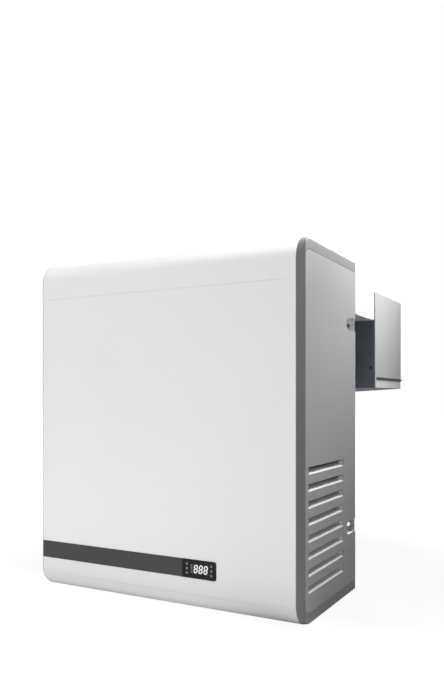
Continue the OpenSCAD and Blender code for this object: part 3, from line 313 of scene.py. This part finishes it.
digitsLow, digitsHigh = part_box("display_digits")
litSetup = {
    "dark": 18, "rough": 0.4, "glow": (250, 250, 252), "level": 2.6, "face": 0.12,
    "symbolShare": 0.22, "symbolGlowShare": 0.22,
}


def litFinish(name):  # digits lit on their face, with dimmer symbols at their left
    setup = litSetup
    mat = newFinish(name, tone(setup["dark"]), setup["rough"])
    left = digitsLow[0] + setup["symbolShare"] * (digitsHigh[0] - digitsLow[0])
    raised = calculate(mat, "LESS_THAN", along(mat, "Y"), digitsLow[1] + setup["face"] * mm)
    digit = calculate(mat, "GREATER_THAN", along(mat, "X"), left)
    level = remap(mat, digit, setup["symbolGlowShare"] * setup["level"], setup["level"])
    drive(mat, "Emission Strength", calculate(mat, "MULTIPLY", raised, level))
    drive(mat, "Emission Color", tone(*setup["glow"]))
    return mat


finishes = {
    "white_cover": shadeLinePaint("coverWhite", tone(238)),
    "white_paint": paintFinish("panelWhite", tone(238), 0.4, speckle=0.01),
    "strip_grey": mouldedFinish("stripGrey", tone(58), 0.5, Specular_IOR_Level=0.35),
    "rim_grey": mouldedFinish("rimGrey", tone(138, 139, 140), 0.42),
    "panel_grey": insetLitPaint("panelGrey", tone(168, 169, 169)),
    "zinc_sheet": zincFinish("zincSheet", tone(198, 201, 204), 0.38),
    "screw_zinc": brushedFinish("screwZinc", tone(190, 190, 194), 0.3),
    "black_plastic": mouldedFinish("blackPlastic", tone(24, 24, 25), 0.5, Specular_IOR_Level=0.2),
    "board_green": mouldedFinish("boardGreen", tone(28, 92, 56), 0.35, grain=300, depth=0.2),
    "button_grey": mouldedFinish("buttonGrey", tone(126), 0.55),
    "black_paint": paintFinish("compressorBlack", tone(28), 0.35, 0.05, peel=0.08, grain=500, coat=0.3),
    "core_iron": mouldedFinish("coreIron", tone(110, 106, 102), 0.6, grain=300, depth=0.4),
    "mount_rubber": mouldedFinish("mountRubber", tone(34), 0.7, grain=900, depth=0.2),
    "coil_aluminium": brushedFinish("coilAluminium", tone(206, 208, 210), 0.35),
    "copper": copperFinish("copperTube", tone(196, 120, 88)),
    "relay_cream": mouldedFinish("relayCream", tone(222, 220, 206), 0.4),
    "foam": foamFinish("linerFoam", tone(232, 222, 190)),
    "seal_grey": foamFinish("sealGrey", tone(246, 248, 250)),
    "plate_dark": paintFinish("plateDark", tone(108, 117, 125), 0.42, speckle=0.04),
    "frame_pale": mouldedFinish("framePale", tone(205, 207, 207), 0.5),
    "cold_grey": panelCoat("coldGrey", tone(200, 201, 201)),
    # painted shade: the tray lip is a darker grey than the casing and tray, standing in for the shade on its
    # downward-facing flare
    "lip_grey": paintFinish("lipGrey", tone(162, 164, 166), 0.42),
    "tray_paint": paintFinish("trayPaint", tone(248, 249, 249), 0.4, speckle=0.015),
    "heater_steel": brushedFinish("heaterSteel", tone(128), 0.35),
    "wire_steel": newFinish("wireSteel", tone(222), 0.16, 1.0),
    "smoked_window": glassFinish("smokedWindow", tone(16, 17, 19), 0.08, 0.35),
    "display_white": litFinish("litDigits"),
}

for entry in frame["record"]["subparts"]:
    mesh = nodes[entry["node"]].data
    mesh.materials.clear()
    mesh.materials.append(finishes[entry["material_slot"]])
print("finishes given to the nodes")

# Softened edges on the CAD nodes: widths in millimetres, angles in degrees
softEdges = {
    "front_cover": 0.5, "top_panel": 0.4, "side_rim_right": 0.8, "side_rim_left": 0.8,
    "side_panel_right": 0.25, "side_panel_left": 0.25, "bolt_pockets": 0.3, "front_strip": 0.2,
    "controller_housing": 0.3, "neck_shell": 0.5, "wall_plate": 0.4, "cold_frame": 0.8,
    "cold_side_right": 0.4, "cold_side_left": 0.4, "cold_top": 0.3, "cold_rear": 0.4,
    "drip_tray": 0.35, "tray_rim": 0.4, "electrical_box": 0.3, "electrical_cover": 0.4, "rear_panel": 0.3,
    "button_left_top": 0.35, "button_left_middle": 0.35, "button_left_bottom": 0.35,
    "button_right_top": 0.35, "button_right_middle": 0.35, "button_right_bottom": 0.35,
    "condenser_fan": 0.3, "evap_fan_right": 0.3, "evap_fan_left": 0.3,
    "condenser_motor": 1.0, "evap_motor_right": 0.6, "evap_motor_left": 0.6, "tray_screws": 0.5,
}
edgeSetup = {"weld": 0.002, "flatAngle": 0.5, "angle": 32, "rimAngle": 17, "segments": 2, "faceWeight": 50}


def soften(node, width, setup):  # rims have gentler corners, so theirs are rounded from a smaller angle
    weld = node.modifiers.new("weld", "WELD")
    weld.merge_threshold = setup["weld"] * mm
    flats = node.modifiers.new("flats", "DECIMATE")
    flats.decimate_type = "DISSOLVE"
    flats.angle_limit = math.radians(setup["flatAngle"])
    edge = node.modifiers.new("edge", "BEVEL")
    edge.limit_method = "ANGLE"
    edge.angle_limit = math.radians(setup["rimAngle"] if "rim" in node.name else setup["angle"])
    edge.width = width * mm
    edge.segments = setup["segments"]
    edge.use_clamp_overlap = False
    even = node.modifiers.new("even", "WEIGHTED_NORMAL")
    even.weight = setup["faceWeight"]
    even.keep_sharp = False


for nodeName, width in softEdges.items():
    soften(nodes[nodeName], width, edgeSetup)
print("edges softened")


# Fine pieces. Each is built at the frame's origin, with its place in its mesh.

def newPiece(name, shape, finish, body, smooth=True):
    mesh = bpy.data.meshes.new(name)
    bmesh.ops.recalc_face_normals(shape, faces=shape.faces)
    for face in shape.faces:
        face.smooth = smooth
    shape.to_mesh(mesh)
    shape.free()
    mesh.materials.append(finish)
    piece = bpy.data.objects.new(name, mesh)
    bpy.context.scene.collection.objects.link(piece)
    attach(piece, body)
    return piece


def addBox(shape, low, high):
    size = [b - a for a, b in zip(low, high)]
    middle = [(a + b) / 2 for a, b in zip(low, high)]
    bmesh.ops.create_cube(shape, size=1.0, matrix=Matrix.Translation(middle) @ Matrix.Diagonal((*size, 1.0)))


def addBar(shape, place, radius, length, sides):  # a round bar along its own Z axis
    bmesh.ops.create_cone(shape, cap_ends=True, segments=sides, radius1=radius, radius2=radius, depth=length,
        matrix=place)


def addRing(shape, centre, radius, wire, steps, sides):  # a round wire ring about Y
    x, y, z = centre
    angles = [2 * math.pi * i / sides for i in range(sides)]
    corners = [shape.verts.new((x + radius + wire * math.cos(a), y + wire * math.sin(a), z)) for a in angles]
    edges = [shape.edges.new((corners[i], corners[(i + 1) % sides])) for i in range(sides)]
    bmesh.ops.spin(shape, geom=corners + edges, cent=centre, axis=(0, 1, 0), angle=2 * math.pi, steps=steps,
        use_merge=True)


guardSetup = {
    "fans": ("evap_fan_right", "evap_fan_left"), "first": 22.0, "count": 5, "wire": 1.5,
    "turn": 45, "spokes": 4, "ringSteps": 72, "wireSides": 10,
}


def makeGuards(setup):  # round wires in the places of the CAD rings and spokes
    low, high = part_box("fan_guards")
    wire = setup["wire"] * mm
    first = setup["first"] * mm
    fans = [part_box(name) for name in setup["fans"]]
    centres = [((a[0] + b[0]) / 2, (a[2] + b[2]) / 2) for a, b in fans]
    outer = high[0] - max(x for x, z in centres) - wire
    step = (outer - first) / (setup["count"] - 1)
    inner = first - wire
    middle = (inner + outer) / 2
    shape = bmesh.new()
    for x, z in centres:
        for i in range(setup["count"]):
            addRing(shape, (x, high[1] - wire, z), first + i * step, wire,
                setup["ringSteps"], setup["wireSides"])
        for i in range(setup["spokes"]):
            angle = math.radians(setup["turn"] + i * 360 / setup["spokes"])
            spot = Vector((x + middle * math.cos(angle), low[1] + wire, z + middle * math.sin(angle)))
            lie = Matrix.Rotation(-angle, 4, "Y") @ Matrix.Rotation(math.radians(90), 4, "Y")
            addBar(shape, Matrix.Translation(spot) @ lie, wire, outer - inner, setup["wireSides"])
    piece = newPiece("roundGuards", shape, finishes["wire_steel"], "casing")
    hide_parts("fan_guards")


makeGuards(guardSetup)

recessShadeSetup = {"arm": 2.4, "width": 0.75, "raise": 0.04, "screwsApart": 10.0, "decimals": 5}


def makeRecessShade(setup):  # painted shade: dark crosses on the screws' heads stand in for the shade in their cross recesses; the heads lie in two planes
    groups = {}
    for corner in nodes["casing_screws"].data.vertices:
        groups.setdefault(round(corner.co.y, setup["decimals"]), []).append(corner.co)
    apart = setup["screwsApart"] * mm
    arm = setup["arm"] * mm
    half = setup["width"] * mm / 2
    shape = bmesh.new()
    for plane in (max(groups), max(y for y in groups if y < 0)):
        heads = []
        for co in groups[plane]:
            near = [h for h in heads if abs(h[0].x - co.x) < apart and abs(h[0].z - co.z) < apart]
            if near:
                near[0].append(co)
            else:
                heads.append([co])
        for head in heads:
            x = (min(co.x for co in head) + max(co.x for co in head)) / 2
            z = (min(co.z for co in head) + max(co.z for co in head)) / 2
            for a, b in ((arm, half), (half, arm)):
                addBox(shape, (x - a, plane - half, z - b), (x + a, plane + setup["raise"] * mm, z + b))
    newPiece("screwRecessShade", shape, finishes["black_plastic"], "casing", False)


makeRecessShade(recessShadeSetup)

redLampSetup = {
    "right": 20.16, "down": 5.6, "behind": 0.12, "radius": 0.75, "thick": 0.2, "sides": 24,
    "body": (120, 20, 16), "rough": 0.3, "glow": (190, 30, 22), "level": 0.9,
}


def makeRedLamp(setup):  # the small lamp at the lower right of the digits
    low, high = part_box("controller_housing")
    x = (low[0] + high[0]) / 2 + setup["right"] * mm
    z = (low[2] + high[2]) / 2 - setup["down"] * mm
    spot = Matrix.Translation((x, digitsLow[1] + setup["behind"] * mm, z))
    lie = Matrix.Rotation(math.radians(90), 4, "X")
    shape = bmesh.new()
    addBar(shape, spot @ lie, setup["radius"] * mm, setup["thick"] * mm, setup["sides"])
    red = newFinish("redLamp", tone(*setup["body"]), setup["rough"], Emission_Strength=setup["level"])
    drive(red, "Emission Color", tone(*setup["glow"]))
    newPiece("redLamp", shape, red, "casing", False)


makeRedLamp(redLampSetup)
print("fine pieces made")


# Camera, as the photograph was taken: metres and degrees, the photograph's pixels, a sensor in millimetres
cameraSetup = {
    "place": (0.813, -1.570, 0.435), "turn": 28.8,
    "focalPixels": 688.6, "horizonPixel": 398, "frameHeight": 700,
    "sensor": 36.0, "nearest": 0.02, "farthest": 60,
}


def placeCamera(setup):
    data = bpy.data.cameras.new("photoCamera")
    camera = bpy.data.objects.new("photoCamera", data)
    bpy.context.scene.collection.objects.link(camera)
    data.sensor_fit = "VERTICAL"
    data.sensor_height = setup["sensor"]
    data.sensor_width = setup["sensor"]
    data.lens = setup["focalPixels"] / setup["frameHeight"] * setup["sensor"]
    data.shift_y = (setup["horizonPixel"] - setup["frameHeight"] / 2) / setup["frameHeight"]
    data.clip_start = setup["nearest"]
    data.clip_end = setup["farthest"]
    camera.location = setup["place"]
    camera.rotation_euler = (math.radians(90), 0, math.radians(setup["turn"]))
    bpy.context.scene.camera = camera


placeCamera(cameraSetup)

worldSetup = {"light": 0.15, "gloss": 0.6}


def makeWorld(setup):  # plain for light, brighter where gloss sees it, white to the camera and through glass
    world = bpy.data.worlds.new("studio")
    bpy.context.scene.world = world
    world.use_nodes = True
    tree = world.node_tree
    sky = tree.nodes["Background"]
    sky.inputs["Color"].default_value = white
    path = tree.nodes.new("ShaderNodeLightPath")
    level = setup["light"]
    for ray, value in (("Glossy", setup["gloss"]), ("Transmission", 1.0), ("Camera", 1.0)):
        mix = tree.nodes.new("ShaderNodeMix")
        tree.links.new(path.outputs["Is " + ray + " Ray"], mix.inputs["Factor"])
        feed(world, mix.inputs["A"], level)
        feed(world, mix.inputs["B"], value)
        level = mix.outputs["Result"]
    tree.links.new(level, sky.inputs["Strength"])


makeWorld(worldSetup)

# The floor, in metres. Its tones and front glow light the object. The camera sees the other glow, with a
# share of those for the shadow.
floorSetup = {
    "size": 30.0, "drop": 0.0004, "rough": 0.9,
    "frontTone": 248, "rearTone": 106, "toneFrom": -0.55, "toneTo": -0.25,
    "frontGlow": 0.72, "rightFrom": 0.1, "rightTo": 0.35,
    "shadowShare": 0.18, "nearGlow": 0.92, "farGlow": 1.18, "near": 0.5, "far": 1.3,
}


def floorFinish(setup):
    front = tone(setup["frontTone"])
    mat = newFinish("floorWhite", front, setup["rough"], Emission_Color=white)
    y = along(mat, "Y")
    drive(mat, "Base Color", ramp(mat, remap(mat, y, 0.0, 1.0, setup["toneFrom"], setup["toneTo"]),
        [(0.0, front), (1.0, tone(setup["rearTone"]))]))
    drive(mat, "Emission Strength", calculate(mat, "MULTIPLY",
        remap(mat, y, setup["frontGlow"], 0.0, setup["toneFrom"], setup["toneTo"]),
        remap(mat, along(mat, "X"), 1.0, 0.0, setup["rightFrom"], setup["rightTo"])))
    return mat


def showWhite(mat, setup):  # for the camera alone, a white glow that gets stronger away from the object
    tree = mat.node_tree
    glowShare = 1 - setup["shadowShare"]
    coords = tree.nodes.new("ShaderNodeTexCoord")
    outward = tree.nodes.new("ShaderNodeVectorMath")
    outward.operation = "LENGTH"
    tree.links.new(coords.outputs["Object"], outward.inputs[0])
    glow = tree.nodes.new("ShaderNodeEmission")
    feed(mat, glow.inputs["Strength"], remap(mat, outward.outputs["Value"],
        setup["nearGlow"] / glowShare, setup["farGlow"] / glowShare, setup["near"], setup["far"]))
    path = tree.nodes.new("ShaderNodeLightPath")
    mix = tree.nodes.new("ShaderNodeMixShader")
    feed(mat, mix.inputs["Fac"], calculate(mat, "MULTIPLY", path.outputs["Is Camera Ray"], glowShare))
    tree.links.new(shaderOf(mat).outputs[0], mix.inputs[1])
    tree.links.new(glow.outputs[0], mix.inputs[2])
    tree.links.new(mix.outputs[0], tree.nodes["Material Output"].inputs["Surface"])


def makeFloor(setup):  # a hair below the base, so that the two faces don't coincide
    shape = bmesh.new()
    bmesh.ops.create_grid(shape, x_segments=2, y_segments=2, size=setup["size"] / 2,
        matrix=Matrix.Translation((0, 0, -setup["drop"])))
    mesh = bpy.data.meshes.new("floor")
    shape.to_mesh(mesh)
    shape.free()
    floor = bpy.data.objects.new("floor", mesh)
    bpy.context.scene.collection.objects.link(floor)
    mat = floorFinish(setup)
    showWhite(mat, setup)
    mesh.materials.append(mat)


makeFloor(floorSetup)

# Lamps: places and sizes in metres, spread in degrees, power in watts
lampSetup = {
    "sideLamp": {
        "place": (0.62, 0.58, 1.36), "aim": (0.33, -0.02, 0.86), "size": 0.35, "spread": 72, "power": 5.9,
    },
    "frontLamp": {
        "place": (-0.9, -3.4, 0.45), "aim": (0, -0.37, 0.35), "size": 1.6, "spread": 180, "power": 12.5,
    },
    "rearLamp": {
        "place": (-1.3, 2.9, 1.3), "aim": (0, 0.2, 0.5), "size": 1.2, "spread": 90, "power": 18.0,
    },
    "topLamp": {
        "place": (0, -0.6, 2.6), "aim": (0, -0.2, 0.7), "size": 2.0, "spread": 180, "power": 47.0,
    },
}


def addLamp(name, setup):
    data = bpy.data.lights.new(name, "AREA")
    data.shape = "SQUARE"
    data.size = setup["size"]
    data.energy = setup["power"]
    data.spread = math.radians(setup["spread"])
    lamp = bpy.data.objects.new(name, data)
    bpy.context.scene.collection.objects.link(lamp)
    lamp.location = setup["place"]
    view = Vector(setup["aim"]) - Vector(setup["place"])
    lamp.rotation_euler = view.to_track_quat("-Z", "Y").to_euler()
    lamp.visible_camera = False


for lampName, values in lampSetup.items():
    addLamp(lampName, values)
bpy.context.scene.view_settings.view_transform = "Standard"
print("camera, floor and lamps placed")
